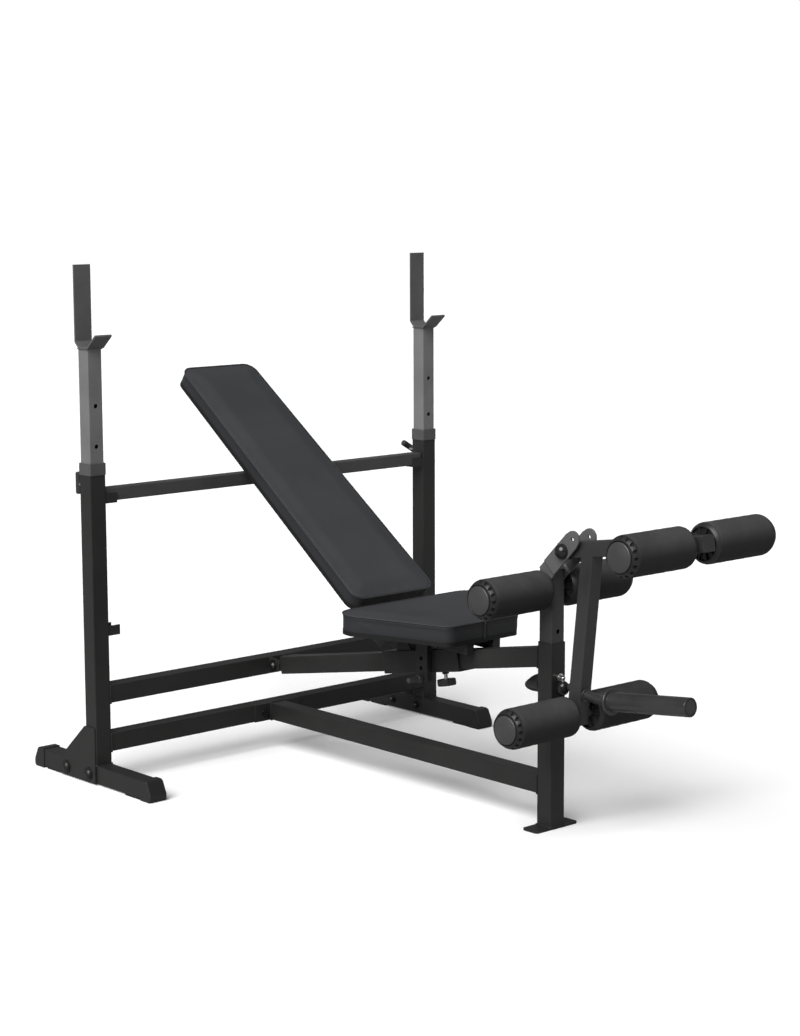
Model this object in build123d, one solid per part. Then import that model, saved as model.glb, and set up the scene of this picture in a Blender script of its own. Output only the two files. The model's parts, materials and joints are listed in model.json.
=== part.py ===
from build123d import *
import math
import os

# Olympic bench press with a leg developer. Millimetres, +Z up. The origin is on the floor, midway
# between the uprights. The leg developer is at -Y, the left side is -X.

os.makedirs("parts", exist_ok=True)

# Tube stock
TUBE = 50.0
WALL = 2.0
ROUND = 3.0
INNER_TUBE = 45.0
BAR_TUBE = 36.0
RAIL = 25.0
LEVER_TUBE = 40.0
ROLLER_TUBE_R = 12.5

# Fits
HOLE_R = 6.0
PIN_R = 5.95
BOLT_R = 5.0
BOLT_HOLE_R = 5.5
RUNNING = 0.05

# Floor frame
UPRIGHT_X = 603.5
FOOT_HALF = 250.0
FOOT_CENTRE_Y = 3.5
SHOE_NOSE = 277.5
FOOT_BOTTOM = 4.0
FOOT_TOP = FOOT_BOTTOM + TUBE
FOOT_AXIS_Z = FOOT_BOTTOM + TUBE / 2
UPRIGHT_TOP = 880.0
CROSSBAR_END = UPRIGHT_X - TUBE / 2
UPPER_BAR_Z = 247.6
LOWER_BAR_Z = 112.3
FOOT_BOLTS_Y = (9.7, 117.0)
FOOT_BOLT_Z = 28.0
GUSSET = 5.0
FLANGE = 5.0
FLANGE_HALF = 82.0
FLANGE_BOLT_X = 47.0
FLANGE_BOLT_Z = 111.0

# Rack posts and their lock pins
PIN_Z = 820.6
HOLE_STEP = 108.9
RACK_HOLES = (PIN_Z - HOLE_STEP, PIN_Z, PIN_Z + HOLE_STEP, PIN_Z + 2 * HOLE_STEP)
RACK_BOTTOM = 480.0
RACK_TOP = 1192.0
HOOK_STRIP = 5.0
HOOK_HALF = 26.5
LOCK_TIP_Y = 18.5
LOCK_HANDLE_Y = 66.0

# Saddles that carry the backrest support bar
SADDLE_INNER = 541.0
SADDLE_HEIGHT = 27.0
SADDLE_FLOOR = 5.0
SADDLES_Z = (409.7, 773.0)
BAR_HALF = 575.0
BAR_AXIS_Z = SADDLES_Z[1] + SADDLE_FLOOR + BAR_TUBE / 2

# Front post and leg post
POST_Y = -1137.7
POST_REAR = POST_Y + TUBE / 2
POST_FRONT = POST_Y - TUBE / 2
POST_TOP = 482.3
BASE_PLATE = 6.0
POST_PIN_Z = 394.0
POST_HOLE_STEP = 116.5
LEG_POST_BOTTOM = 180.0
LEG_POST_TOP = 668.0
TENSION_Z = 369.0

# Seat beam: the axis rises towards the front through one known point
BEAM_SLOPE = math.radians(10.2)
BEAM_POINT = (-592.0, 347.1)
BEAM_REAR_Y = -77.0
SLEEVE = 62.0
SLEEVE_WALL = 5.5
SLEEVE_REAR_Y = -530.0
SLEEVE_FRONT_Y = -825.0
CLAMP_Y = -739.0

# Bench hinge, seat and backrest
HINGE = (-600.0, 420.0)
HINGE_BOLT_R = 6.0
EAR_X = (22.0, 27.0)
SEAT_REAR = (-577.0, 514.5)
SEAT_SLOPE = math.radians(-1.95)
SEAT_LENGTH = 323.0
SEAT_HALVES = (277.0, 127.0)
SEAT_CORNERS = (55.0, 34.0)
SEAT_PAD = 58.0
BACK_PAD = 50.0
BOARD = 12.0
BOARD_INSET = 3.0
BOARD_GAP = 0.2
SEAT_RAIL_X = 35.0
RAIL_DEPTH = 30.0
SEAT_RAIL_ENDS = (4.0, 316.0)
HANGER_X = (-48.0, -32.0)
HANGER_HOLES_Z = (323.0, 350.0, 377.0)
HANGER_HOLE_Y = -701.0
BACK_SLOPE = math.radians(35.84)
BACK_RAIL_X = 62.0
BACK_UNDERSIDE = 702.4
BACK_PAD_ENDS = (-140.0, 835.0)
BACK_PAD_HALVES = (143.5, 130.0)
BACK_CORNERS = (35.0, 35.0)
BACK_RAIL_ENDS = (-90.0, 700.0)
ARM = 5.0
ARM_WIDTH = 20.0

# Leg developer
PIVOT = (-1205.0, 724.5)
PIVOT_R = 6.0
PLATE_INNER = 27.0
PLATE_HALF = 23.5
TIP_REACH = 47.0
TIP_R = 21.5
TIP_HOLE_R = 5.0
ARM_SLOPE = math.radians(8.8)
HANG_TILT = math.radians(6.1)
PLATE = 6.0
THIGH_AXIS = (POST_Y, 619.0)
ARM_ROLLER_AXIS = (-1600.0, 782.6)
SHIN_AXIS = (-1232.0, 311.5)
PEG_SLOPE = math.atan(0.1165)
PEG_FLANGE = (-1345.0, 362.2)
PEG_R = 12.5
PEG_END = 230.0
SLEEVE_R = 24.0
SLEEVE_END = 258.0

# Rollers, measured outwards from the middle plane
FOAM_R = 50.8
FOAM_ENDS = (44.4, 239.0)
HUB_R = 50.0
HUB_LIP_R = 42.0
HUB_INNER = 34.0
HUB_OUTER = 253.0
ROLLER_TUBE_END = 250.0
PLUG_R = 36.5
NOTCHES = 16
NOTCH_R = 4.8
VANES = 10


def box(x0, x1, y0, y1, z0, z1):
    """A block between two limits on each axis."""
    return Pos((x0 + x1) / 2, (y0 + y1) / 2, (z0 + z1) / 2) * Box(x1 - x0, y1 - y0, z1 - z0)


def rod(start, end, radius):
    """A round bar between two points."""
    axis = Vector(*end) - Vector(*start)
    return extrude(Plane(origin=start, z_dir=axis) * Circle(radius), amount=axis.length)


def cross_rod(y, z, half, radius):
    """A round bar along X, centred on the middle plane."""
    return rod((-half, y, z), (half, y, z), radius)


def bar(start, end, width, depth, radius=ROUND, side=(1, 0, 0)):
    """A solid rectangular bar with rounded edges between two points."""
    axis = Vector(*end) - Vector(*start)
    plane = Plane(origin=start, x_dir=side, z_dir=axis)
    return extrude(plane * RectangleRounded(width, depth, radius), amount=axis.length)


def tube(start, end, width, wall=WALL, side=(1, 0, 0)):
    """A square tube between two points."""
    core = width - 2 * wall
    return bar(start, end, width, width, ROUND, side) - bar(start, end, core, core, 1.0, side)


def plate(points, x0, x1):
    """A flat piece in the YZ plane, given thickness from x0 to x1."""
    outline = Plane.YZ * Polygon(*points, align=None)
    return Pos(x0, 0, 0) * extrude(outline, amount=x1 - x0, dir=(1, 0, 0))


def dome(origin, direction, radius, skirt, height):
    """A turned button: a short cylinder closed by part of a sphere."""
    rise = height - skirt
    sphere = (radius ** 2 + rise ** 2) / (2 * rise)
    half_angle = math.atan2(radius, sphere - rise) / 2
    middle = (sphere * math.sin(half_angle), height - sphere + sphere * math.cos(half_angle))
    outline = Polyline((0, height), (0, 0), (radius, 0), (radius, skirt))
    outline += ThreePointArc((radius, skirt), middle, (0, height))
    solid = revolve(Plane.XZ * make_face(outline), axis=Axis.Z)
    return Plane(origin=origin, z_dir=direction) * solid


def both_sides(shape):
    """The shape and its mirror image across the middle plane."""
    return [shape, mirror(shape, about=Plane.YZ)]


def save(name, *shapes):
    """Write the solids of one named node."""
    solids = [solid for shape in shapes for solid in shape.solids()]
    export_step(solids[0] if len(solids) == 1 else Compound(solids), f"parts/{name}.step")


def joined(shapes):
    """All the shapes fused into one."""
    whole = shapes[0]
    for shape in shapes[1:]:
        whole = whole + shape
    return whole


# ---------------------------------------------------------------- uprights and feet


def upright(x):
    post = tube((x, 0, FOOT_TOP), (x, 0, UPRIGHT_TOP), TUBE)
    return post - rod((x, 10, PIN_Z), (x, 40, PIN_Z), HOLE_R)


def collar(x):
    """Plastic sleeve on the mouth of an upright, with a lip that guides the rack post."""
    outer = bar((x, 0, 852), (x, 0, 884), 54, 54, 5)
    pocket = bar((x, 0, 850), (x, 0, UPRIGHT_TOP), TUBE + 0.2, TUBE + 0.2, ROUND + 0.1)
    return outer - pocket - bar((x, 0, 870), (x, 0, 890), 45.4, 45.4, ROUND)


def foot(x):
    front = (x, FOOT_CENTRE_Y - FOOT_HALF, FOOT_AXIS_Z)
    rear = (x, FOOT_CENTRE_Y + FOOT_HALF, FOOT_AXIS_Z)
    beam = tube(front, rear, TUBE)
    for y in FOOT_BOLTS_Y:
        beam = beam - rod((x - 40, y, FOOT_BOLT_Z), (x + 40, y, FOOT_BOLT_Z), BOLT_HOLE_R)
    return beam


def foot_cap():
    """Right-hand rear shoe on the end of a foot, blunt at the floor and slanted above it."""
    nose = SHOE_NOSE
    outline = [
        (nose - 46, 0), (nose - 5, 0), (nose, 5), (nose, 20),
        (nose - 15, 52), (nose - 21, 56), (nose - 46, 56),
    ]
    half = TUBE / 2 + 0.1
    pocket = box(-half, half, nose - 50, FOOT_HALF + 0.2, FOOT_BOTTOM - 0.1, FOOT_TOP + 0.1)
    shoe = plate(outline, -27, 27)
    sides = [edge for edge in shoe.edges().filter_by(GeomType.LINE) if edge.center().Y > nose - 22]
    shoe = fillet(sides, 1.5)
    return Pos(UPRIGHT_X, 0, 0) * (shoe - pocket)


def floor_pad(x, y0, y1):
    return box(x - 24, x + 24, y0, y1, 0, FOOT_BOTTOM)


def gusset():
    """Right-hand plate that ties the upright to its foot, on the outer side."""
    inner = UPRIGHT_X + TUBE / 2
    outline = [(-23, 4), (150, 4), (118, 76), (25, 159), (-23, 159)]
    sheet = plate(outline, inner, inner + GUSSET)
    for y in FOOT_BOLTS_Y:
        sheet = sheet - rod((inner - 5, y, FOOT_BOLT_Z), (inner + 15, y, FOOT_BOLT_Z), BOLT_HOLE_R)
    return sheet


def foot_bolt(y):
    """Right-hand carriage bolt with a wide washer outside and a cap nut inside."""
    outside = UPRIGHT_X + TUBE / 2 + GUSSET
    inside = UPRIGHT_X - TUBE / 2
    shank = rod((inside - 6, y, FOOT_BOLT_Z), (outside + 2, y, FOOT_BOLT_Z), BOLT_R)
    washer = rod((outside, y, FOOT_BOLT_Z), (outside + 3, y, FOOT_BOLT_Z), 18)
    head = dome((outside + 3, y, FOOT_BOLT_Z), (1, 0, 0), 13, 1.5, 7)
    ring = rod((inside - 2, y, FOOT_BOLT_Z), (inside, y, FOOT_BOLT_Z), 12)
    nut = dome((inside - 2, y, FOOT_BOLT_Z), (-1, 0, 0), 9, 6, 12)
    return joined([shank, washer, head, ring, nut])


# ---------------------------------------------------------------- crossbars, saddles, support bar


def crossbar(z):
    return tube((-CROSSBAR_END, 0, z), (CROSSBAR_END, 0, z), TUBE, side=(0, 1, 0))


def flange_holes():
    return [
        rod((x, -60, FLANGE_BOLT_Z), (x, 60, FLANGE_BOLT_Z), BOLT_HOLE_R)
        for x in (-FLANGE_BOLT_X, FLANGE_BOLT_X)
    ]


def saddle(z):
    """Right-hand U-shaped rest on the inner face of an upright."""
    slot = BAR_TUBE / 2 + 0.4
    wall = slot + 4.6
    top = z + SADDLE_HEIGHT
    floor = z + SADDLE_FLOOR
    outline = [
        (-wall, z), (wall, z), (wall, top), (slot, top),
        (slot, floor), (-slot, floor), (-slot, top), (-wall, top),
    ]
    return plate(outline, SADDLE_INNER, CROSSBAR_END)


def support_bar():
    return tube((-BAR_HALF, 0, BAR_AXIS_Z), (BAR_HALF, 0, BAR_AXIS_Z), BAR_TUBE, side=(0, 1, 0))


# ---------------------------------------------------------------- rack posts and lock pins


def rack_post(x):
    post = tube((x, 0, RACK_BOTTOM), (x, 0, RACK_TOP), INNER_TUBE)
    for z in RACK_HOLES:
        post = post - rod((x, -40, z), (x, 40, z), HOLE_R)
    return post


def bar_hook(x):
    """Bent strip that cradles the barbell: high back, low front lip."""
    base = RACK_TOP + HOOK_STRIP / 2
    path = FilletPolyline(
        (29.5, 1414), (29.5, 1209.5), (13.5, base), (-26, base), (-66, 1229), radius=6
    )
    strip = Plane.YZ * trace(path, line_width=HOOK_STRIP)
    return Pos(x - HOOK_HALF, 0, 0) * extrude(strip, amount=2 * HOOK_HALF, dir=(1, 0, 0))


def lock_handle(x, direction, radius, half):
    centre = Vector(x, LOCK_HANDLE_Y, PIN_Z + 3)
    reach = Vector(*direction) * half
    return rod(tuple(centre - reach), tuple(centre + reach), radius)


def lock_pin(x, direction):
    """T-shaped pin that enters the upright from behind."""
    shank = rod((x, LOCK_TIP_Y, PIN_Z), (x, LOCK_HANDLE_Y, PIN_Z), PIN_R)
    return shank + lock_handle(x, direction, 5.0, 24)


def lock_grip(x, direction):
    grip = lock_handle(x, direction, 9.0, 30)
    grip = fillet(grip.edges(), 4)
    return grip - lock_pin(x, direction)


# ---------------------------------------------------------------- floor beam and front post


def main_beam():
    """Floor beam with its welded bolting flange."""
    beam = tube((0, -TUBE / 2 - FLANGE, LOWER_BAR_Z), (0, POST_REAR, LOWER_BAR_Z), TUBE)
    flange = box(
        -FLANGE_HALF, FLANGE_HALF, -TUBE / 2 - FLANGE, -TUBE / 2, LOWER_BAR_Z - 25, LOWER_BAR_Z + 25
    )
    for hole in flange_holes():
        flange = flange - hole
    return beam + flange


def beam_bolt(x):
    """Hexagon bolt through the flange and the lower crossbar."""
    front = -TUBE / 2 - FLANGE
    shank = rod((x, front - 3, FLANGE_BOLT_Z), (x, 27, FLANGE_BOLT_Z), BOLT_R)
    washer = rod((x, front - 2, FLANGE_BOLT_Z), (x, front, FLANGE_BOLT_Z), 12)
    plane = Plane(origin=(x, front - 2, FLANGE_BOLT_Z), z_dir=(0, -1, 0))
    head = extrude(plane * RegularPolygon(9.5, 6), amount=6.5)
    ring = rod((x, 25, FLANGE_BOLT_Z), (x, 27, FLANGE_BOLT_Z), 12)
    nut = dome((x, 27, FLANGE_BOLT_Z), (0, 1, 0), 9, 6, 12)
    return joined([shank, washer, head, ring, nut])


def front_post():
    post = tube((0, POST_Y, BASE_PLATE), (0, POST_Y, POST_TOP), TUBE)
    post = post - rod((0, POST_Y - 10, POST_PIN_Z), (0, POST_Y - 40, POST_PIN_Z), HOLE_R)
    return post - rod((0, POST_Y + 10, TENSION_Z), (0, POST_Y + 40, TENSION_Z), BOLT_R)


def front_foot_plate():
    plane = Pos(0, -1136.5, 0)
    return extrude(plane * RectangleRounded(150, 53, 9), amount=BASE_PLATE)


# ---------------------------------------------------------------- seat beam and carriage

BEAM_FORWARD = Vector(0, -math.cos(BEAM_SLOPE), math.sin(BEAM_SLOPE))
BEAM_UP = Vector(0, math.sin(BEAM_SLOPE), math.cos(BEAM_SLOPE))


def beam_at(y, lift=0.0):
    """A point on the seat beam's axis at the given y, moved off the axis by lift."""
    z = BEAM_POINT[1] + (BEAM_POINT[0] - y) * math.tan(BEAM_SLOPE)
    return tuple(Vector(0, y, z) + BEAM_UP * lift)


def seat_beam():
    """Inclined tube, mitred on the front post, with a two-plate tongue at the rear."""
    rear = beam_at(BEAM_REAR_Y)
    beam = tube(rear, beam_at(POST_REAR - 30), TUBE)
    beam = beam - box(-40, 40, POST_REAR - 100, POST_REAR, 300, 600)
    closing = tuple(Vector(*rear) + BEAM_FORWARD * 4)
    beam = beam + bar(rear, closing, TUBE, TUBE)
    tongue = plate([(-81, 237), (-48, 235), (-31, 241), (-31, 262), (-81, 271)], 15, 20.5)
    tongue = tongue - rod((0, -44, 249), (40, -44, 249), BOLT_HOLE_R)
    return joined([beam] + both_sides(tongue))


def bracket_plate():
    """Right-hand cheek welded on the upper crossbar."""
    outline = [(-25, 236), (-58, 232), (-70, 240), (-70, 258), (-58, 270), (-25, 272)]
    return plate(outline, 21, 25) - rod((15, -44, 249), (40, -44, 249), BOLT_HOLE_R)


def bracket_bolt():
    ends = [dome((25 + 2, -44, 249), (1, 0, 0), 11, 3, 9), rod((25, -44, 249), (27, -44, 249), 16)]
    shank = cross_rod(-44, 249, 28, BOLT_R)
    return joined([shank] + both_sides(ends[0]) + both_sides(ends[1]))


def clamp_point(depth):
    """A point below the seat beam's axis on the clamp screw's axis."""
    return beam_at(CLAMP_Y, -depth)


def seat_carriage():
    """Sleeve that slides on the seat beam, with two hinge ears and the clamp's welded nut."""
    sleeve = tube(beam_at(SLEEVE_REAR_Y), beam_at(SLEEVE_FRONT_Y), SLEEVE, SLEEVE_WALL)
    y, z = HINGE
    ear = plate([(y + 20, 370), (y + 14, z), (y - 14, z), (y - 40, 386), (y - 40, 380)], *EAR_X)
    ear = ear + rod((EAR_X[0], y, z), (EAR_X[1], y, z), 14)
    ear = ear - rod((15, y, z), (35, y, z), HINGE_BOLT_R + RUNNING)
    ear = ear - bar(beam_at(-400), beam_at(-900), SLEEVE - 8, SLEEVE - 8)
    nut = rod(clamp_point(30), clamp_point(39), 9)
    carriage = joined([sleeve, nut] + both_sides(ear))
    return carriage - rod(clamp_point(25), clamp_point(50), BOLT_R)


def hinge_bolt():
    face = BACK_RAIL_X + ARM + 0.5
    shaft = cross_rod(*HINGE, face + 3, HINGE_BOLT_R)
    ring = rod((face, *HINGE), (face + 2, *HINGE), 12)
    nut = dome((face + 2, *HINGE), (1, 0, 0), 10, 6, 12)
    return joined([shaft] + both_sides(ring + nut))


def clamp_stud():
    return rod(clamp_point(25.7), clamp_point(62), BOLT_R - RUNNING)


def clamp_knob():
    """Round knob with a knurled rim of shallow flutes."""
    knob = rod(clamp_point(52.5), clamp_point(70.5), 25)
    knob = fillet(knob.edges(), 3)
    plane = Plane(origin=clamp_point(50), x_dir=(1, 0, 0), z_dir=-BEAM_UP)
    for place in PolarLocations(27.5, 16):
        knob = knob - extrude(plane * place * Circle(3.5), amount=30)
    return knob - clamp_stud()


# ---------------------------------------------------------------- seat

SEAT_FORWARD = Vector(0, -math.cos(SEAT_SLOPE), math.sin(SEAT_SLOPE))
SEAT_UP = Vector(0, math.sin(SEAT_SLOPE), math.cos(SEAT_SLOPE))


def seat_at(along, lift):
    """A point in the middle plane: along from the rear edge, lift above the underside."""
    top = Vector(0, *SEAT_REAR)
    return tuple(top + SEAT_FORWARD * along + SEAT_UP * (lift - SEAT_PAD))


def pad_slab(plane, length, halves, corners, inset, thickness):
    """A tapered slab with rounded corners; the near edge is at the plane's origin."""
    near, far = halves
    outline = Polygon(
        (inset - near, -inset), (near - inset, -inset),
        (far - inset, inset - length), (inset - far, inset - length), align=None
    )
    by_reach = outline.vertices().sort_by(Axis.Y)
    outline = fillet(by_reach[2:], corners[0] - inset)
    outline = fillet(outline.vertices().sort_by(Axis.Y)[:2], corners[1] - inset)
    return extrude(plane * outline, amount=thickness, dir=tuple(plane.z_dir))


def seat_slab(lift, inset, thickness):
    plane = Plane(origin=seat_at(0, lift), x_dir=(1, 0, 0), z_dir=SEAT_UP)
    return pad_slab(plane, SEAT_LENGTH, SEAT_HALVES, SEAT_CORNERS, inset, thickness)


def seat_rail():
    """Right-hand rail with the bushing that turns on the hinge bolt."""
    start, end = SEAT_RAIL_ENDS
    shift = Vector(SEAT_RAIL_X + RAIL / 2, 0, 0)

    def inner_point(along):
        return tuple(Vector(*seat_at(along, -RAIL_DEPTH / 2)) + shift)

    outer = bar(inner_point(start), inner_point(end), RAIL, RAIL_DEPTH)
    core = bar(inner_point(start + 2), inner_point(end - 2), RAIL - 4, RAIL_DEPTH - 4, 1)
    bushing = rod((SEAT_RAIL_X, *HINGE), (SEAT_RAIL_X + RAIL, *HINGE), 13)
    return outer - core + bushing


def seat_frame():
    """Two closed rails, tied by a strap over the hinge and a flat at the front."""
    half = SEAT_RAIL_X + 1
    ties = [bar(seat_at(6, -4), seat_at(20, -4), 2 * half, 5, 1)]
    ties.append(bar(seat_at(285, -4), seat_at(305, -4), 2 * half, 5, 1))
    frame = joined(both_sides(seat_rail()) + ties)
    for x in (SEAT_RAIL_X, -SEAT_RAIL_X - RAIL):
        frame = frame - rod((x - 1, *HINGE), (x + RAIL + 1, *HINGE), HINGE_BOLT_R + RUNNING)
    return frame


def seat_hanger():
    """Flat bar with adjusting holes that hangs from the left rail, beside the sleeve."""
    strip = box(*HANGER_X, -725, -680, 318, 440)
    strip = strip - bar(seat_at(0, 40 - RAIL_DEPTH), seat_at(300, 40 - RAIL_DEPTH), 200, 80)
    for z in HANGER_HOLES_Z:
        strip = strip - rod((-60, HANGER_HOLE_Y, z), (-20, HANGER_HOLE_Y, z), HOLE_R)
    return strip


def seat_lock_pin():
    z = HANGER_HOLES_Z[0]
    return rod((-80, HANGER_HOLE_Y, z), (-22, HANGER_HOLE_Y, z), PIN_R)


def seat_lock_grip():
    z = HANGER_HOLES_Z[0]
    grip = fillet(rod((-94.6, HANGER_HOLE_Y, z), (-60, HANGER_HOLE_Y, z), 7.5).edges(), 2)
    collar_ring = fillet(rod((-62, HANGER_HOLE_Y, z), (-49.5, HANGER_HOLE_Y, z), 10.5).edges(), 2)
    return grip + collar_ring - seat_lock_pin()


# ---------------------------------------------------------------- backrest

BACK_ALONG = Vector(0, math.cos(BACK_SLOPE), math.sin(BACK_SLOPE))
BACK_UP = Vector(0, -math.sin(BACK_SLOPE), math.cos(BACK_SLOPE))


def back_at(along, lift, x=0.0):
    """A point from its distance along the backrest and its height over the sloping base line."""
    return tuple(BACK_ALONG * along + BACK_UP * lift + Vector(x, 0, 0))


def back_slab(lift, inset, thickness):
    near, far = BACK_PAD_ENDS
    plane = Plane(origin=back_at(near, lift), x_dir=(-1, 0, 0), z_dir=BACK_UP)
    return pad_slab(plane, far - near, BACK_PAD_HALVES, BACK_CORNERS, inset, thickness)


def back_arm():
    """Right-hand arm: dips behind the seat cushion, then climbs to the rail."""
    y, z = HINGE
    inner, outer = BACK_RAIL_X, BACK_RAIL_X + ARM
    low = (y + 43, z - 23)
    elbow = (y + 86, z + 6)
    top = back_at(-45, BACK_UNDERSIDE - 14)[1:]
    path = Polyline((y, z), low, elbow, top)
    strap = extrude(Plane.YZ * trace(path, line_width=ARM_WIDTH), amount=ARM, dir=(1, 0, 0))
    eye = rod((inner, y, z), (outer, y, z), 12)
    for corner in (low, elbow):
        eye = eye + rod((inner, *corner), (outer, *corner), ARM_WIDTH / 2)
    arm = Pos(inner, 0, 0) * strap + eye
    return arm - rod((inner - 5, y, z), (outer + 5, y, z), HINGE_BOLT_R + RUNNING)


def back_frame():
    """Two rails with a lower and an upper tie, and the hinge arms."""
    middle = BACK_UNDERSIDE - RAIL_DEPTH / 2
    start, end = BACK_RAIL_ENDS
    x = BACK_RAIL_X + RAIL / 2
    outer = bar(back_at(start, middle, x), back_at(end, middle, x), RAIL, RAIL_DEPTH)
    core = bar(back_at(start + 2, middle, x), back_at(end - 2, middle, x), RAIL - 4, RAIL_DEPTH - 4, 1)
    pieces = both_sides(outer - core) + both_sides(back_arm())
    for along in (-20, 640):
        tie_start = back_at(along, BACK_UNDERSIDE - RAIL / 2, -BACK_RAIL_X)
        tie_end = back_at(along, BACK_UNDERSIDE - RAIL / 2, BACK_RAIL_X)
        pieces.append(tube(tie_start, tie_end, RAIL, side=tuple(BACK_ALONG)))
    return joined(pieces)


# ---------------------------------------------------------------- leg post


def leg_post():
    post = tube((0, POST_Y, LEG_POST_BOTTOM), (0, POST_Y, LEG_POST_TOP), INNER_TUBE)
    for z in (POST_PIN_Z - POST_HOLE_STEP, POST_PIN_Z, POST_PIN_Z + POST_HOLE_STEP):
        post = post - rod((0, POST_Y - 40, z), (0, POST_Y + 40, z), HOLE_R)
    return post - cross_rod(*THIGH_AXIS, 40, ROLLER_TUBE_R)


def pivot_bracket():
    """Right-hand joggled plate, laid along a 45 degree line from the post to the tip hole."""
    pivot = Vector(0, *PIVOT)
    down = Vector(0, 1, -1).normalized()
    across = Vector(0, -1, -1).normalized()
    inner = INNER_TUBE / 2
    outer = PLATE_INNER
    section = [
        (-75, outer), (64.5, outer), (69.5, inner), (96, inner),
        (96, inner + PLATE), (71, inner + PLATE), (66, outer + PLATE), (-75, outer + PLATE),
    ]
    edge = Plane(origin=tuple(pivot - across * PLATE_HALF), x_dir=down, z_dir=across)
    sign = 1 if edge.y_dir.X > 0 else -1
    outline = Polygon(*[(along, sign * x) for along, x in section], align=None)
    strip = extrude(edge * outline, amount=2 * PLATE_HALF, dir=across)
    tip = tuple(pivot - down * TIP_REACH)
    square = bar(tuple(pivot - down * TIP_REACH), tuple(pivot + down * 96), 200, 2 * PLATE_HALF, 0.5)
    shoulder = PLATE_HALF - TIP_R
    lobe = rod((0, *tip[1:]), (60, *tip[1:]), TIP_R)
    taper = plate(
        [tuple(Vector(*tip) + down * a + across * w)[1:] for a, w in (
            (0, TIP_R), (6, TIP_R + shoulder), (6, -TIP_R - shoulder), (0, -TIP_R))], 0, 60
    )
    square = square - bar(tuple(pivot - down * (TIP_REACH + 1)), tuple(pivot - down * (TIP_REACH - 6)), 220, 80, 0.5)
    strip = strip & (lobe + taper + square)
    strip = strip - rod((0, *tip[1:]), (60, *tip[1:]), TIP_HOLE_R)
    return strip - rod((0, *PIVOT), (60, *PIVOT), PIVOT_R + RUNNING)


def pivot_bolt():
    """Pivot shaft with a large domed cap on each end."""
    face = PLATE_INNER + PLATE
    cap = dome((face, *PIVOT), (1, 0, 0), 19, 5, 20)
    return joined([cross_rod(*PIVOT, face + 2, PIVOT_R)] + both_sides(cap))


def roller_tube(axis):
    end = ROLLER_TUBE_END
    return cross_rod(*axis, end, ROLLER_TUBE_R) - cross_rod(*axis, end + 5, ROLLER_TUBE_R - WALL)


def turned(profile, axis):
    """A body of revolution about a roller's axis, from (x, radius) points."""
    y, z = axis
    outline = make_face(Polyline(*[(x, radius) for x, radius in profile], close=True))
    return Pos(0, y, z) * revolve(outline, axis=Axis.X)


def outer_hub(axis):
    """Right-hand outer end: a notched shoulder, a raised lip and a domed plug."""
    y, z = axis
    start = FOAM_ENDS[1] + 0.4
    body = turned([
        (start, 0), (start, HUB_R), (start + 2, HUB_R - 0.4), (start + 6, HUB_R - 2),
        (start + 10, HUB_R - 4.6), (HUB_OUTER, HUB_LIP_R + 0.5), (HUB_OUTER, HUB_LIP_R),
        (HUB_OUTER + 2, HUB_LIP_R), (HUB_OUTER + 2, HUB_LIP_R - 2.5),
        (HUB_OUTER - 1, PLUG_R + 0.8), (HUB_OUTER - 1, 0)
    ], axis)
    plug = dome((HUB_OUTER - 2, y, z), (1, 0, 0), PLUG_R, 4, 11)
    plane = Plane(origin=(start + 3, y, z), x_dir=(0, 1, 0), z_dir=(1, 0, 0))
    for place in PolarLocations(HUB_LIP_R + 5.2, NOTCHES):
        body = body - extrude(plane * place * Circle(NOTCH_R), amount=20)
    socket = rod((start - 1, y, z), (ROLLER_TUBE_END, y, z), ROLLER_TUBE_R)
    spigot = rod((start - 5, y, z), (ROLLER_TUBE_END, y, z), ROLLER_TUBE_R - WALL)
    return (body + plug - socket) + spigot


def inner_hub(axis):
    """Right-hand inner end: a ring with radial vanes round the tube."""
    y, z = axis
    end = FOAM_ENDS[0] - 0.4
    body = turned([
        (end, ROLLER_TUBE_R), (end, HUB_R), (end - 2, HUB_R - 0.5), (end - 6, HUB_R - 3.5),
        (HUB_INNER, HUB_LIP_R + 1), (HUB_INNER, ROLLER_TUBE_R)
    ], axis)
    plane = Plane(origin=(HUB_INNER - 1, y, z), x_dir=(0, 1, 0), z_dir=(1, 0, 0))
    pocket = Circle(HUB_LIP_R - 1.5) - Circle(ROLLER_TUBE_R + 5)
    for place in PolarLocations((HUB_LIP_R + ROLLER_TUBE_R) / 2, VANES):
        pocket = pocket - place * Rectangle(HUB_LIP_R - ROLLER_TUBE_R + 4, 2.5)
    return body - extrude(plane * pocket, amount=7)


def roller_hubs(axis):
    return both_sides(outer_hub(axis)) + both_sides(inner_hub(axis))


def foam(axis, side):
    y, z = axis
    inner, outer = FOAM_ENDS
    roll = rod((side * inner, y, z), (side * outer, y, z), FOAM_R)
    roll = fillet(roll.edges(), 1.2)
    return roll - cross_rod(y, z, 260, ROLLER_TUBE_R + RUNNING)


# ---------------------------------------------------------------- post lock and tension knob


def post_lock_pin():
    """Pin with a collar ring; its tail bends down into the knob."""
    shank = rod((0, -1157.4, POST_PIN_Z), (0, -1178.7, POST_PIN_Z), PIN_R)
    ring = rod((0, POST_FRONT - 0.3, POST_PIN_Z), (0, -1170, POST_PIN_Z), 11)
    elbow = Pos(0, -1178.7, POST_PIN_Z) * Sphere(PIN_R)
    tail = rod((0, -1178.7, POST_PIN_Z), (0, -1178.7, 372), 5)
    return joined([shank, ring, elbow, tail])


def post_lock_knob():
    centre = (0, -1178.7, 369)
    knob = dome(centre, (0, 0, 1), 15.5, 3, 18) + dome(centre, (0, 0, -1), 15.5, 3, 19)
    return knob - post_lock_pin()


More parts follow.
